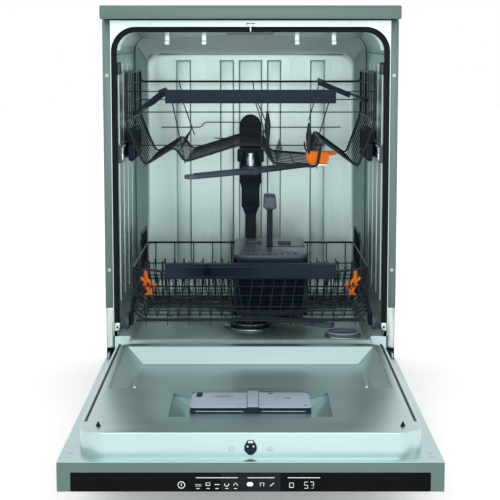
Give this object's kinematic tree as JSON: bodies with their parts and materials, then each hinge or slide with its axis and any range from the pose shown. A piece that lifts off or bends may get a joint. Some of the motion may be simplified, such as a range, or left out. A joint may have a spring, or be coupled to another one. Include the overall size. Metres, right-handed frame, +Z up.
{
  "type": "dishwasher",
  "caption": "Under-counter dishwasher with its door lowered: steel cabinet, tub, two pull-out wire racks, spray arms, cutlery basket, door with dispenser and touch strip.",
  "frame": {"origin": "centre of the footprint on the floor, with the door lowered", "axes": "+Z up, the door lowers towards -Y, +X to the right seen from the front"},
  "size_m": [0.6, 1.26, 0.85],
  "materials": {
    "body_steel": "grey-green brushed steel, satin",
    "bright_steel": "bright brushed stainless, semi-gloss",
    "zinc_steel": "zinc-plated, dull",
    "rubber": "matte",
    "navy_plastic": "moulded, satin",
    "slate_plastic": "moulded, satin",
    "lilac_plastic": "moulded, semi-gloss",
    "orange_plastic": "moulded, semi-gloss",
    "coated_wire": "nylon-coated wire, satin",
    "black_glass": "gloss black panel",
    "pale_plastic": "moulded, matte",
    "board_green": "circuit board"
  },
  "bodies": {
    "cabinet": {"worktop_lid": "body_steel", "side_panel_left": "body_steel", "side_panel_right": "body_steel", "rear_panel": "zinc_steel", "kick_plate": "body_steel", "base_tray": "navy_plastic", "tub_shell": "bright_steel", "tub_floor": "bright_steel", "door_gasket": "rubber", "door_strike": "bright_steel", "rail_left": "bright_steel", "rail_right": "bright_steel", "feed_column": "navy_plastic", "sump": "slate_plastic", "circulation_pump": "slate_plastic", "drain_pump": "navy_plastic", "softener_tank": "pale_plastic", "inlet_valve": "pale_plastic", "hinge_bracket_left": "zinc_steel", "hinge_bracket_right": "zinc_steel"},
    "foot_front_left": {"foot_front_left": "navy_plastic"},
    "foot_front_right": {"foot_front_right": "navy_plastic"},
    "foot_back_left": {"foot_back_left": "navy_plastic"},
    "foot_back_right": {"foot_back_right": "navy_plastic"},
    "filter_cup": {"filter_cup": "slate_plastic"},
    "salt_cap": {"salt_cap": "slate_plastic"},
    "lower_spray_arm": {"lower_spray_arm": "slate_plastic"},
    "slide_left": {"slide_left": "bright_steel"},
    "slide_right": {"slide_right": "bright_steel"},
    "upper_rack": {"upper_basket": "coated_wire", "upper_handle": "navy_plastic", "adjuster_left": "navy_plastic", "adjuster_right": "navy_plastic", "glass_clip": "orange_plastic", "rack_feed_pipe": "navy_plastic"},
    "cup_shelf_left": {"cup_shelf_left": "slate_plastic"},
    "cup_shelf_right": {"cup_shelf_right": "slate_plastic"},
    "upper_spray_arm": {"upper_spray_arm": "slate_plastic"},
    "lower_rack": {"lower_basket": "coated_wire", "lower_handle": "navy_plastic", "clip_left": "orange_plastic", "clip_right": "orange_plastic"},
    "wheel_front_left": {"wheel_front_left": "slate_plastic"},
    "wheel_front_right": {"wheel_front_right": "slate_plastic"},
    "wheel_back_left": {"wheel_back_left": "slate_plastic"},
    "wheel_back_right": {"wheel_back_right": "slate_plastic"},
    "tine_row_left": {"tine_row_left": "coated_wire"},
    "tine_row_right": {"tine_row_right": "coated_wire"},
    "cutlery_basket": {"cutlery_basket": "navy_plastic"},
    "cutlery_lid": {"cutlery_lid": "slate_plastic"},
    "door": {"door_outer_panel": "body_steel", "door_inner_liner": "bright_steel", "control_strip": "black_glass", "control_board": "board_green", "dispenser_body": "slate_plastic", "hinge_arm_left": "zinc_steel", "hinge_arm_right": "zinc_steel"},
    "latch_bolt": {"latch_bolt": "navy_plastic"},
    "detergent_lid": {"detergent_lid": "lilac_plastic"},
    "rinse_lid": {"rinse_lid": "lilac_plastic"}
  },
  "joints": [
    {"name": "door", "type": "hinge", "parent": "cabinet", "child": "door", "pos_m": [0, 0.066, 0.123], "axis": [1, 0, 0], "range_deg": [-90, 0]},
    {"name": "foot_front_left", "type": "slide", "parent": "cabinet", "child": "foot_front_left", "axis": [0, 0, -1], "range_m": [0, 0.03]},
    {"name": "foot_front_right", "type": "slide", "parent": "cabinet", "child": "foot_front_right", "axis": [0, 0, -1], "range_m": [0, 0.03]},
    {"name": "foot_back_left", "type": "slide", "parent": "cabinet", "child": "foot_back_left", "axis": [0, 0, -1], "range_m": [0, 0.03]},
    {"name": "foot_back_right", "type": "slide", "parent": "cabinet", "child": "foot_back_right", "axis": [0, 0, -1], "range_m": [0, 0.03]},
    {"name": "filter_turn", "type": "hinge", "parent": "cabinet", "child": "filter_cup", "pos_m": [0, 0.33, 0.092], "axis": [0, 0, 1], "range_deg": [0, 60]},
    {"name": "salt_cap_turn", "type": "hinge", "parent": "cabinet", "child": "salt_cap", "pos_m": [0.199, 0.18, 0.15], "axis": [0, 0, 1], "range_deg": [0, 90]},
    {"name": "lower_arm_spin", "type": "hinge", "parent": "cabinet", "child": "lower_spray_arm", "pos_m": [0, 0.33, 0.173], "axis": [0, 0, 1], "continuous": true},
    {"name": "upper_rack", "type": "slide", "parent": "cabinet", "child": "upper_rack", "axis": [0, -1, 0], "range_m": [0, 0.5]},
    {"name": "rail_left", "type": "slide", "parent": "cabinet", "child": "slide_left", "axis": [0, -1, 0], "range_m": [0, 0.25]},
    {"name": "rail_right", "type": "slide", "parent": "cabinet", "child": "slide_right", "axis": [0, -1, 0], "range_m": [0, 0.25]},
    {"name": "cup_shelf_left", "type": "hinge", "parent": "upper_rack", "child": "cup_shelf_left", "pos_m": [-0.25, 0.32, 0.628], "axis": [0, 1, 0], "range_deg": [-50, 38]},
    {"name": "cup_shelf_right", "type": "hinge", "parent": "upper_rack", "child": "cup_shelf_right", "pos_m": [0.25, 0.32, 0.655], "axis": [0, -1, 0], "range_deg": [-66, 22]},
    {"name": "upper_arm_spin", "type": "hinge", "parent": "upper_rack", "child": "upper_spray_arm", "pos_m": [0, 0.33, 0.494], "axis": [0, 0, 1], "continuous": true},
    {"name": "lower_rack", "type": "slide", "parent": "cabinet", "child": "lower_rack", "axis": [0, -1, 0], "range_m": [0, 0.5]},
    {"name": "wheel_front_left", "type": "hinge", "parent": "lower_rack", "child": "wheel_front_left", "pos_m": [-0.2635, 0.154, 0.1883], "axis": [1, 0, 0], "continuous": true},
    {"name": "wheel_front_right", "type": "hinge", "parent": "lower_rack", "child": "wheel_front_right", "pos_m": [0.2635, 0.154, 0.1883], "axis": [1, 0, 0], "continuous": true},
    {"name": "wheel_back_left", "type": "hinge", "parent": "lower_rack", "child": "wheel_back_left", "pos_m": [-0.2635, 0.5, 0.1883], "axis": [1, 0, 0], "continuous": true},
    {"name": "wheel_back_right", "type": "hinge", "parent": "lower_rack", "child": "wheel_back_right", "pos_m": [0.2635, 0.5, 0.1883], "axis": [1, 0, 0], "continuous": true},
    {"name": "tines_left", "type": "hinge", "parent": "lower_rack", "child": "tine_row_left", "pos_m": [-0.14, 0.34, 0.2], "axis": [-1, 0, 0], "range_deg": [0, 82]},
    {"name": "tines_right", "type": "hinge", "parent": "lower_rack", "child": "tine_row_right", "pos_m": [0.183, 0.34, 0.2], "axis": [-1, 0, 0], "range_deg": [0, 82]},
    {"name": "cutlery_lift", "type": "slide", "parent": "lower_rack", "child": "cutlery_basket", "axis": [0, 0, 1], "range_m": [0, 0.04]},
    {"name": "cutlery_lid", "type": "hinge", "parent": "cutlery_basket", "child": "cutlery_lid", "pos_m": [-0.036, 0.31, 0.32], "axis": [0, 1, 0], "range_deg": [-40, 0]},
    {"name": "latch_bolt", "type": "slide", "parent": "door", "child": "latch_bolt", "axis": [0, 1, 0], "range_m": [0, 0.004], "stiffness_N_per_m": 1500},
    {"name": "detergent_lid", "type": "hinge", "parent": "door", "child": "detergent_lid", "pos_m": [-0.099, -0.451, 0.1806], "axis": [0, -1, 0], "range_deg": [0, 100]},
    {"name": "rinse_lid", "type": "hinge", "parent": "door", "child": "rinse_lid", "pos_m": [0.099, -0.451, 0.1806], "axis": [0, 1, 0], "range_deg": [0, 95]}
  ],
  "couplings": [
    {"joint": "rail_left", "follows": "upper_rack", "ratio": 0.5},
    {"joint": "rail_right", "follows": "upper_rack", "ratio": 0.5},
    {"joint": "wheel_front_left", "follows": "lower_rack", "rad_per_m": 62.5},
    {"joint": "wheel_front_right", "follows": "lower_rack", "rad_per_m": 62.5},
    {"joint": "wheel_back_left", "follows": "lower_rack", "rad_per_m": 62.5},
    {"joint": "wheel_back_right", "follows": "lower_rack", "rad_per_m": 62.5}
  ]
}
